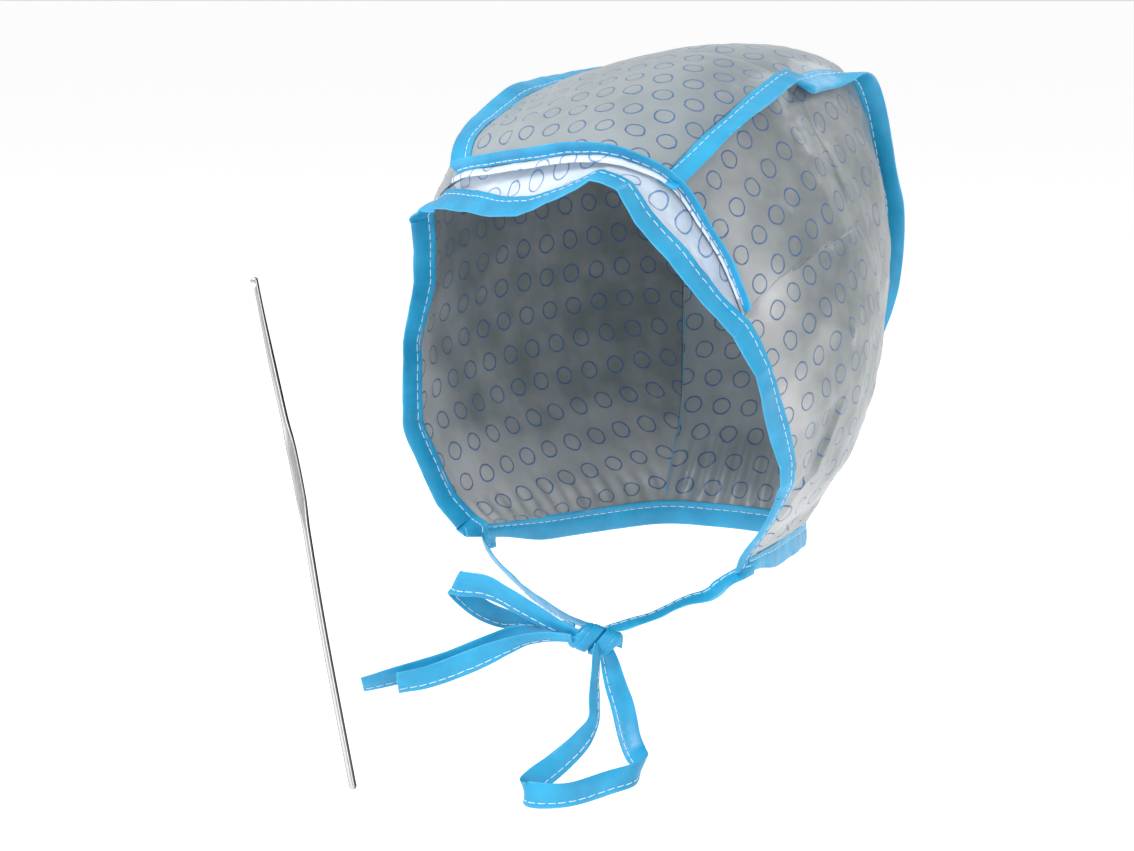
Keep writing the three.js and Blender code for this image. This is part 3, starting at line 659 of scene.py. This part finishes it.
def steel_material():
    """Polished steel rod with fine drawing marks along it, and a painted reflection: near black where the
    vertex tone is low.
    """
    n = Nodes("polished_steel")
    place = n.add("ShaderNodeTexCoord").outputs["Object"]
    drawn = n.vector("MULTIPLY", place, (1600.0, 1600.0, 30.0))
    marks = n.noise(drawn, 1.0, 3.0)
    tone = n.add("ShaderNodeAttribute", attribute_name="tone").outputs["Fac"]
    bright = n.mix(marks, (0.50, 0.50, 0.51, 1), (0.70, 0.70, 0.71, 1))
    # Painted reflection: dark bands mixed in by each vertex's tone.
    n.set(Base_Color=n.mix(tone, (0.09, 0.09, 0.095, 1), bright), Metallic=1.0)
    n.set(Specular_Tint=(0.22, 0.22, 0.23, 1))
    n.set(Roughness=n.remap(marks, 0.3, 0.7, 0.12, 0.24))
    n.bump(marks, 0.00003, 0.25)
    return n.material


INK = (0.024, 0.105, 0.28, 1)
VISOR_INK = (0.12, 0.24, 0.50, 1)
# Each film's light and dark colours are lit and shaded copies of it, mixed by the painted light and shade of
# each vertex.
CROWN_FILM = film_material(
    "crown_film", (0.375, 0.42, 0.44, 1), (0.165, 0.205, 0.225, 1), INK, 0.0, FILM_ALPHA, CROWN_PITCH
)
SIDE_FILM = film_material(
    "side_film", (0.62, 0.62, 0.63, 1), (0.12, 0.15, 0.155, 1), INK, 0.12, FILM_ALPHA, SIDE_PITCH, False
)
VISOR_FILM = film_material(
    "visor_film", (0.76, 0.84, 0.93, 1), (0.38, 0.46, 0.57, 1), VISOR_INK, 0.2, FILM_ALPHA, CROWN_PITCH
)
BLUE = binding_material()
WHITE = thread_material()
STEEL = steel_material()


# Film panels
def crown_strip():
    """The centre strip from the brow to the gathered nape."""
    u, v = np.meshgrid(np.linspace(0, 1, 111), np.linspace(0, 1, 331))
    brow = rail(BROW, SMOOTH, BROW_SEAM_RIGHT, BROW_SEAM_LEFT)
    nape = rail(NAPE, SMOOTH, NAPE_SEAM_RIGHT, NAPE_SEAM_LEFT)
    p = coons(brow, nape, rail(SEAM_RIGHT, SMOOTH), rail(SEAM_LEFT, SMOOTH), u, v)
    p = swollen(p, u, v, CROWN_BULGE)
    flat = flat_map(p, 0.5)
    edge = np.clip(np.minimum(np.minimum(u, 1 - u) * 12, np.minimum(v, 1 - v) * 30), 0, 1)
    relief = 1.1 * fractal(p, 38, 3.1) + 0.45 * fractal(p, 12, 8.2)
    relief += ridge(p, (-20, -72, 80), (20, 10, 108), 0.9, 5)
    relief += ridge(p, (20, -60, 92), (45, 20, 104), 0.9, 4)
    relief += ridge(p, (-38, -66, 74), (-20, -40, 92), 0.9, 3)
    relief += ridge(p, (38, 20, 106), (50, 60, 100), 1.2, 4)
    gathers = np.sin(flat[..., 0] / MM * 0.9) * smoothstep((v - 0.86) / 0.1)
    p = p + grid_normals(p) * ((relief * edge) + 1.0 * gathers * edge)[..., None]
    # Painted light towards the brow and painted shade towards the wearer's left, away from the key lamp,
    # with some random tone.
    low = smoothstep((-40 - p[..., 1]) / 40) * smoothstep((95 - p[..., 2]) / 30)
    tone = 0.55 + 0.2 * fractal(p, 60, 1.7) + 0.3 * low - 0.3 * smoothstep((p[..., 0] - 15) / 50)
    obj = shell("crown_strip_film", p, CROWN_FILM, flat, tone)
    return finish_film(obj, "crown_strip")


def side_panel(side, seam, brow, face, nape):
    """The panel between a seam, the face opening and the nape."""
    u, v = np.meshgrid(np.linspace(0, 1, 181), np.linspace(0, 1, 201))
    top, back = rail(seam, SMOOTH, 0, TOP_CORNER[side]), rail(seam, SMOOTH, TOP_CORNER[side])
    p = swollen(coons(top, nape, chain(brow, face), back, u, v), u, v, SIDE_BULGE)
    flat = flat_map(p, SIDE_SEAM_TO_GRAIN)
    edge = np.clip(np.minimum(np.minimum(u, 1 - u) * 16, np.minimum(v, 1 - v) * 16), 0, 1)
    relief = 1.4 * fractal(p, 42, 5.3) + 0.42 * fractal(p, 12, 2.2)
    if side == "left":
        relief += left_folds(p)
    gathers = np.sin(flat[..., 0] / MM * 0.8 + 0.4) * smoothstep((v - 0.88) / 0.1)
    p = p + grid_normals(p) * ((relief + 0.9 * gathers) * edge)[..., None]
    # Painted light and shade on the film, mirrored for the right panel.
    tone = side_light_and_shade(p * np.array([1 if side == "left" else -1, 1, 1]))
    obj = shell("side_panel_" + side + "_film", p, SIDE_FILM, flat, tone)
    return finish_film(obj, "side_panel_" + side)


def left_folds(p):
    """The pleat from the top of the seam, the crease from the brow, and the fold down to the jaw."""
    folds = step_fold(p, (57, 9, 95), (73, 12, 60), 0.8, 1.4, 16, 0.5)
    folds += ridge(p, (57, 8, 95), (72, 11, 62), 0.8, 1.8)
    folds += step_fold(p, (88, -12, -34), (63, -36, -86), 1.8, 1.8, 24)
    folds += ridge(p, (82, -58, 18), (91, -8, 2), 1.9, 4)
    folds += ridge(p, (86, -52, -2), (91, -20, -24), 1.1, 4)
    folds += ridge(p, (62, -60, 60), (74, -28, 48), 0.8, 4)
    folds += ridge(p, (80, 2, 40), (84, 30, 22), 0.8, 5)
    folds += ridge(p, (84, -30, -48), (76, -34, -72), 0.9, 3)
    return folds


def painted_patch(p, centre, reach, strength):
    """A soft round patch of painted light on the film, painted shade where its strength is negative."""
    off = np.linalg.norm(p - np.array(centre, float), axis=-1)
    return strength * np.exp(-((off / reach) ** 2))


def side_light_and_shade(p):
    """Painted light towards the face and the jaw and painted shade at the back, with some random tone."""
    front = smoothstep((-16 - p[..., 1]) / 46)
    low = smoothstep((-30 - p[..., 2]) / 50)
    tone = 0.16 + 0.34 * front + 0.34 * low + 0.1 * fractal(p, 50, 4.4) + 0.08 * fractal(p, 14, 6.1)
    # The painted highlight and shade patches.
    for centre, reach, strength in SIDE_LIGHT_AND_SHADE_PATCHES:
        tone = tone + painted_patch(p, centre, reach, strength)
    return np.clip(tone, 0, 1)


def finish_film(obj, node):
    """Puts a film piece on the cap's body and hides the CAD part it stands for."""
    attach(obj, "cap")
    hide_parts(node)
    return obj


def visor(brow_hem):
    """From under the hem to the face binding: folded in behind the hem, then flaring out."""
    u, v = np.meshgrid(np.linspace(0, 1, 241), np.linspace(0, 1, 31))
    s = VISOR_START + (1 - VISOR_START) * u
    low, high = rail(BROW, SMOOTH), rail(FACE, CREASED, VISOR_RIGHT, VISOR_LEFT)
    p = low(s)[..., :3] * (1 - v[..., None]) + high(s)[..., :3] * v[..., None]
    sink = VISOR_RECESS * np.sin(np.pi * v) + 1.2 * (1 - v)
    p = p - head_normal(p) * sink[..., None]
    flat = flat_map(p, 0.5)
    edge = np.clip(np.minimum(v * 6, (1 - v) * 6), 0, 1)
    relief = 0.9 * fractal(p, 16, 6.6) + 0.25 * fractal(p, 6, 1.2)
    p = p + grid_normals(p) * (relief * edge)[..., None]
    # Painted shade in the recess under the hem, going over to painted light towards the face binding, with
    # some random tone.
    tone = 0.25 + 0.7 * smoothstep(v * 1.8) + 0.15 * fractal(p, 20, 9.1)
    obj = shell("visor_skirt_film", p, VISOR_FILM, flat, tone)
    return finish_film(obj, "visor_film")


def hem():
    """The strip of doubled film that shows below the brow binding."""
    s = np.linspace(*HEM_SPAN, 221)
    brow = rail(BROW, SMOOTH)
    middle = brow(s)[:, :3]
    along = unit(np.gradient(middle, axis=0))
    normal = head_normal(middle)
    down = unit(np.cross(along, normal))
    across = np.linspace(0, 1, 13)
    lift = 1.5 + 0.7 * np.sin(np.pi * across)
    wave = 0.35 * fractal(middle, 9, 4.2)
    width = HEM_WIDTH * (1 - 0.55 * smoothstep((s - 0.5) / 0.3))
    p = middle[None] + down[None] * (across[:, None] * width[None] - 0.2)[..., None]
    p = p + normal[None] * (lift[:, None] + wave[None])[..., None]
    flat = flat_map(p, 0.5)
    # Painted shade under the brow binding, fading out down the hem.
    tone = np.broadcast_to((0.75 + 0.2 * across)[:, None], p.shape[:2])
    obj = shell("brow_hem_film", p, VISOR_FILM, flat, tone, HEM_THICKNESS)
    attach(obj, "cap")
    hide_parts("brow_hem")
    return obj


# Bindings
def stations(path, count, start=0.0, end=1.0, width=None):
    """Places along a rail whose rows carry a way across. The rows of free tapes carry a width too."""
    s = np.linspace(start, end, count)
    rows = path(s)
    point = rows[:, :3]
    ahead, behind = path(s + 0.002)[:, :3], path(s - 0.002)[:, :3]
    along = unit(ahead - behind)
    across = unit(rows[:, 3:6])
    across = unit(across - along * (across * along).sum(-1, keepdims=True))
    widths = rows[:, 6] if rows.shape[1] > 6 else np.full(count, float(width))
    return {"at": point, "along": along, "across": across, "face": np.cross(along, across), "width": widths}


def lengths(points):
    """Arc length from the first point to each point."""
    return np.concatenate([[0], np.cumsum(np.linalg.norm(np.diff(points, axis=0), axis=1))])


def waved(st, seed, amount=0.5):
    """The slow ripple of the tape out of its own plane."""
    ripple = amount * fractal(st["at"], 14, seed, 2)
    twist = 0.35 * amount * fractal(st["at"], 8, seed + 5, 2)
    st["at"] = st["at"] + st["face"] * ripple[:, None]
    st["tilt"] = twist
    return st


def tape(name, node, st, body, seed, stitch_share=STITCH_SHARE, full=1.0, first_stitch=1.5):
    """A folded tape along its stations, and the stitches on both of its sides."""
    st = waved(st, seed)
    run = lengths(st["at"])
    plump = full * (1 + 0.3 * fractal(st["at"], 7, seed + 9, 2))
    shares = np.array([x for x, _ in SECTION] + [x for x, _ in SECTION[-2::-1]])
    heights = np.array([h for _, h in SECTION] + [-h for _, h in SECTION[-2::-1]])
    near = np.exp(-(((shares - stitch_share) / 0.09) ** 2))
    pucker = 0.07 * np.cos(2 * np.pi * run / STITCH_PITCH)
    h = heights[None] * plump[:, None] + np.sign(heights)[None] * near[None] * pucker[:, None]
    h = h + (shares[None] - 0.5) * st["tilt"][:, None] * 2
    ring = st["at"][:, None] + st["across"][:, None] * (shares[None] * st["width"][:, None])[..., None]
    ring = ring + st["face"][:, None] * h[..., None]
    obj = mesh_object(name + "_tape", *swept(ring), BLUE)
    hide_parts(node)
    thread = stitches(name, node, st, run, plump, stitch_share, first_stitch)
    for piece in (obj, thread):
        if body:
            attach(piece, body)
    return obj, thread


def outward(vertices, faces):
    """The faces, turned round if they enclose a negative volume."""
    volume = 0.0
    for f in faces:
        a = vertices[f[0]]
        for k in range(1, len(f) - 1):
            volume += np.dot(a, np.cross(vertices[f[k]], vertices[f[k + 1]]))
    return faces if volume > 0 else [f[::-1] for f in faces]


def swept(ring):
    """Vertices and outward faces of a closed tube through rings of points, capped at both ends."""
    rows, columns = ring.shape[:2]
    j, i = np.meshgrid(np.arange(rows - 1), np.arange(columns), indexing="ij")
    k = (i + 1) % columns
    quads = np.stack([j * columns + i, j * columns + k, (j + 1) * columns + k, (j + 1) * columns + i], -1)
    faces = quads.reshape(-1, 4).tolist()
    faces.append(list(range(columns))[::-1])
    faces.append([(rows - 1) * columns + c for c in range(columns)])
    vertices = ring.reshape(-1, 3)
    return vertices, outward(vertices, faces)


def capsule_faces(start, rings, sides):
    """Faces of one stitch, whose vertices begin at number start."""
    faces = []
    for j in range(rings - 1):
        for i in range(sides):
            a, b = start + j * sides + i, start + j * sides + (i + 1) % sides
            faces.append([a, a + sides, b + sides, b])
    faces.append([start + i for i in range(sides)])
    faces.append([start + (rings - 1) * sides + i for i in reversed(range(sides))])
    return faces


def stitches(name, node, st, run, plump, share, first):
    """Separate stitches on both faces of a tape; each one's ends dip into it."""
    profile = np.array([h for _, h in SECTION])
    base = np.interp(share, [x for x, _ in SECTION], profile)
    vertices, faces = [], []
    sides = 6
    count = int((run[-1] - first - 0.5) / STITCH_PITCH)
    turn = np.linspace(0, 2 * np.pi, sides, endpoint=False)
    shape = np.array([-0.5, -0.42, -0.25, 0.0, 0.25, 0.42, 0.5])
    dip = np.array([-0.32, -0.02, 0.12, 0.16, 0.12, -0.02, -0.32])
    girth = np.array([0.45, 0.9, 1, 1, 1, 0.9, 0.45]) * THREAD_RADIUS
    rng = np.random.default_rng(7)

    def read(key, where):
        value = st[key]
        if value.ndim == 1:
            return np.interp(where, run, value)
        return np.stack([np.interp(where, run, c) for c in value.T], -1)

    for side in (1, -1):
        for k in range(count):
            middle = first + STITCH_PITCH * (k + 0.5) + (0 if side > 0 else STITCH_PITCH / 2)
            where = middle + rng.normal(0, 0.12) + shape * STITCH_LENGTH
            where = np.clip(where, 0.3, run[-1] - 0.3)
            at, across, face = read("at", where), unit(read("across", where)), unit(read("face", where))
            width, fat, tilt = read("width", where), np.interp(where, run, plump), read("tilt", where)
            height = side * (base * fat - 0.07 + dip) + (share - 0.5) * tilt * 2
            slant = rng.normal(0, 0.12) * shape
            centre = at + across * (share * width + slant)[:, None] + face * height[:, None]
            ring = centre[:, None] + (across[:, None] * np.cos(turn)[None, :, None]) * girth[:, None, None]
            ring = ring + (face[:, None] * np.sin(turn)[None, :, None]) * girth[:, None, None]
            start = len(vertices)
            vertices.extend(ring.reshape(-1, 3))
            faces.extend(capsule_faces(start, len(shape), sides))
    vertices = np.array(vertices)
    obj = mesh_object(name + "_stitches", vertices, outward(vertices, faces), WHITE)
    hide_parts(node + "_thread")
    return obj


def face_binding():
    """The tape round the face opening, narrower where it ends on the wearer's left."""
    rows = [(-61, -39, -91, -0.2, -0.8, -0.5)] + FACE + [(61.5, -37.5, -92, 0.1, -1, 0.1)]
    st = stations(rail(rows, CREASED), 760, 0, 1, FACE_WIDTH)
    st["at"] = st["at"] - st["across"] * OVERLAP
    st["width"] = st["width"] * (1 - 0.25 * smoothstep((np.linspace(0, 1, 760) - 0.8) / 0.1))
    tape("face_binding", "face_binding", st, "cap", 2.0)


def nape_binding():
    """The tape round the nape, narrower towards both jaws."""
    st = stations(rail(NAPE, SMOOTH), 380, 0, 1, NAPE_WIDTH)
    st["at"] = st["at"] - st["across"] * OVERLAP
    to_end = np.abs(np.linspace(-1, 1, 380))
    st["width"] = st["width"] * (1 - 0.42 * smoothstep((to_end - 0.72) / 0.24))
    tape("nape_binding", "nape_binding", st, "cap", 11.0)


def brow_binding():
    """The narrow tape that lies flat on the brow line."""
    st = stations(rail(BROW, SMOOTH), 300, *BROW_TAPE_SPAN, BROW_WIDTH)
    st["at"] = st["at"] + st["across"] * 0.8 + head_normal(st["at"]) * 1.0
    tape("brow_binding", "brow_binding", st, "cap", 21.0, 0.22, 0.85)


def seam_binding(name, node, rows, seed, start, end):
    """A tape that stands up along the seam between the crown and a side panel."""
    st = stations(rail(rows, SMOOTH), 360, start, end, SEAM_WIDTH)
    st["at"] = st["at"] + head_normal(st["at"]) * 0.5 - st["across"] * 0.8
    tape(name, node, st, "cap", seed)


def free_tape(name, rows, body, seed, count, first=BOW_FIRST_STITCH):
    """A tie, loop or end of the bow. Its rows run along its middle."""
    path = rail(rows, SMOOTH)
    st = stations(path, count)
    st["at"] = st["at"] - st["across"] * (st["width"] / 2)[:, None]
    return tape(name, name, st, body, seed, 0.2, 0.85, first)


def chin_ties():
    """Both ties, each running from its root at the cap to the chin strap; neither is put on a body here."""
    for name, rows, seed in (("tie_left", TIE_LEFT, 31.0), ("tie_right", TIE_RIGHT, 37.0)):
        pair = free_tape(name, rows, None, seed, 90, TIE_FIRST_STITCH)
        for piece in pair:
            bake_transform(piece)


def knot():
    """Two slanting turns of flat tape side by side round the crossed ties."""
    axis = unit(np.array([0.83, 0.46, -0.3]))
    front = unit(np.array([0.5, -0.85, 0.1]) - axis * np.dot([0.5, -0.85, 0.1], axis))
    top = np.cross(front, axis)
    xx, tt = np.meshgrid(np.linspace(-1, 1, 141), np.linspace(0, 2 * np.pi, 161)[:-1])
    along = xx * KNOT_LENGTH + KNOT_SLANT * np.sin(tt)
    r = np.clip(1 - np.abs(xx) ** 7, 0, 1) ** 0.4
    for place, depth, width in KNOT_CREASES:
        r = r - depth * np.exp(-(((xx * KNOT_LENGTH - place) / width) ** 2))
    across_front = np.sign(np.cos(tt)) * np.abs(np.cos(tt)) ** 0.8 * KNOT_DEPTH
    across_top = np.sign(np.sin(tt)) * np.abs(np.sin(tt)) ** 0.9 * KNOT_HEIGHT
    points = KNOT_CENTRE + axis * along[..., None]
    points = points + (front * across_front[..., None] + top * across_top[..., None]) * r[..., None]
    points = points + unit(points - KNOT_CENTRE) * (0.28 * fractal(points, 6, 14.0))[..., None]
    rows, columns = points.shape[:2]
    faces = grid_faces(rows, columns, True).tolist()
    vertices = points.reshape(-1, 3)
    faces.append([j * columns for j in range(rows)])
    faces.append([j * columns + columns - 1 for j in reversed(range(rows))])
    obj = mesh_object("bow_knot_turns", vertices, outward(vertices, faces), BLUE)
    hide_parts("bow_knot")
    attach(obj, "chin_strap")


# Hook
def round_end(past, length):
    """Share of the full radius over a rounded end, from how far past its start a place lies."""
    return np.clip(1 - (past / length).clip(0, 1) ** 2, 0.02, 1) ** 0.5


def hook():
    """A steel rod with a barbed tip and a flattened thumb rest."""
    way = unit(HOOK_WAY)
    side = unit(np.array([0.83, 0.56, 0]) - way * np.dot([0.83, 0.56, 0], way))
    depth = np.cross(way, side)
    z = np.concatenate([np.linspace(*run) for run in HOOK_RUNS])
    turn = np.linspace(0, 2 * np.pi, 41)[:-1]
    taper = smoothstep((z - HOOK_TAPER_FROM) / HOOK_TAPER_OVER)
    radius = HOOK_TIP_RADIUS + (HOOK_RADIUS - HOOK_TIP_RADIUS) * taper
    nose = round_end(HOOK_NOSE - z, HOOK_NOSE)
    tail = round_end(z - HOOK_LENGTH + HOOK_TAIL, HOOK_TAIL)
    radius = radius * nose * tail
    rest = smoothstep((z - REST_FROM) / REST_RAMP) * (1 - smoothstep((z - REST_TO) / REST_RAMP))
    wide, thick = radius * (1 + REST_WIDER * rest), radius * (1 - REST_THINNER * rest)
    x, y = np.cos(turn)[None] * wide[:, None], np.sin(turn)[None] * thick[:, None]
    barb = 1 + 0.9 * np.exp(-(((z - 1.2) / 0.9) ** 2))
    x = np.where(x < 0, x * barb[:, None], x)
    throat = smoothstep((z - 1.9) / 0.4) * (1 - smoothstep((z - 3.2) / 2.4))
    limit = -(2 * wide * (1 - throat) + 0.05 * throat)
    x = np.maximum(x, limit[:, None])
    bend = HOOK_BOW * np.exp(-(((z / HOOK_LENGTH - 0.4) / 0.2) ** 2))
    points = HOOK_TIP + way * z[:, None, None] + side * (x + bend[:, None])[..., None] + depth * y[..., None]
    obj = mesh_object("steel_hook", *swept(points), STEEL)
    # Painted reflection: dark along the two edges of the rod as seen from the camera, bright between them.
    reflection_bands = 0.5 + 0.5 * np.cos(2 * (turn - 1.9))
    add_tone(obj, np.broadcast_to(smoothstep(reflection_bands), points.shape[:2]).ravel())
    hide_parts("hook")
    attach(obj, "hook")


# Floor and light
def stage():
    """The floor, the surround and the lamps."""
    bpy.ops.mesh.primitive_plane_add(size=FLOOR_SIZE, location=(0, 0, FLOOR_HEIGHT))
    floor = bpy.context.object
    floor.name = "floor"
    n = Nodes("pale_floor")
    n.set(Base_Color=(0.96, 0.96, 0.96, 1), Roughness=0.9)
    n.set(Emission_Color=(1, 1, 1, 1), Emission_Strength=FLOOR_GLOW)
    floor.data.materials.append(n.material)
    world = bpy.data.worlds.new("world")
    world.use_nodes = True
    background = world.node_tree.nodes["Background"]
    background.inputs["Color"].default_value = (1, 1, 1, 1)
    background.inputs["Strength"].default_value = SURROUND
    bpy.context.scene.world = world
    bpy.context.scene.view_settings.view_transform = "Standard"
    for name, place, size, power in LIGHTS:
        light = bpy.data.lights.new(name, "AREA")
        light.shape = "SQUARE"
        light.size = size
        light.energy = power
        lamp = bpy.data.objects.new(name, light)
        bpy.context.scene.collection.objects.link(lamp)
        lamp.location = place
        lamp.rotation_mode = "QUATERNION"
        lamp.rotation_quaternion = Vector(place).to_track_quat("Z", "Y")


def build():
    crown_strip()
    side_panel(
        "left",
        SEAM_LEFT,
        rail(BROW, SMOOTH, BROW_SEAM_LEFT),
        rail(FACE, CREASED, VISOR_LEFT),
        rail(NAPE, SMOOTH, NAPE_SEAM_LEFT).back(),
    )
    side_panel(
        "right",
        SEAM_RIGHT,
        rail(BROW, SMOOTH, 0, BROW_SEAM_RIGHT).back(),
        rail(FACE, CREASED, 0, VISOR_RIGHT).back(),
        rail(NAPE, SMOOTH, 0, NAPE_SEAM_RIGHT),
    )
    visor(hem())
    brow_binding()
    face_binding()
    nape_binding()
    seam_binding("seam_binding_left_front", "seam_binding_left", SEAM_LEFT_FRONT, 51.0, 0.0, 1.0)
    seam_binding("seam_binding_left_rear", "seam_binding_left", SEAM_LEFT_REAR, 53.0, 0.0, 0.985)
    seam_binding("seam_binding_right", "seam_binding_right", SEAM_RIGHT, 57.0, 0.012, 0.985)
    chin_ties()
    free_tape("loop_side", LOOP_SIDE, "side_loop", 61.0, 170)
    free_tape("loop_hanging", LOOP_HANGING, "hanging_loop", 67.0, 260)
    free_tape("end_upper", END_UPPER, "upper_end", 71.0, 120)
    free_tape("end_lower", END_LOWER, "lower_end", 77.0, 100)
    knot()
    hook()


build()
stage()
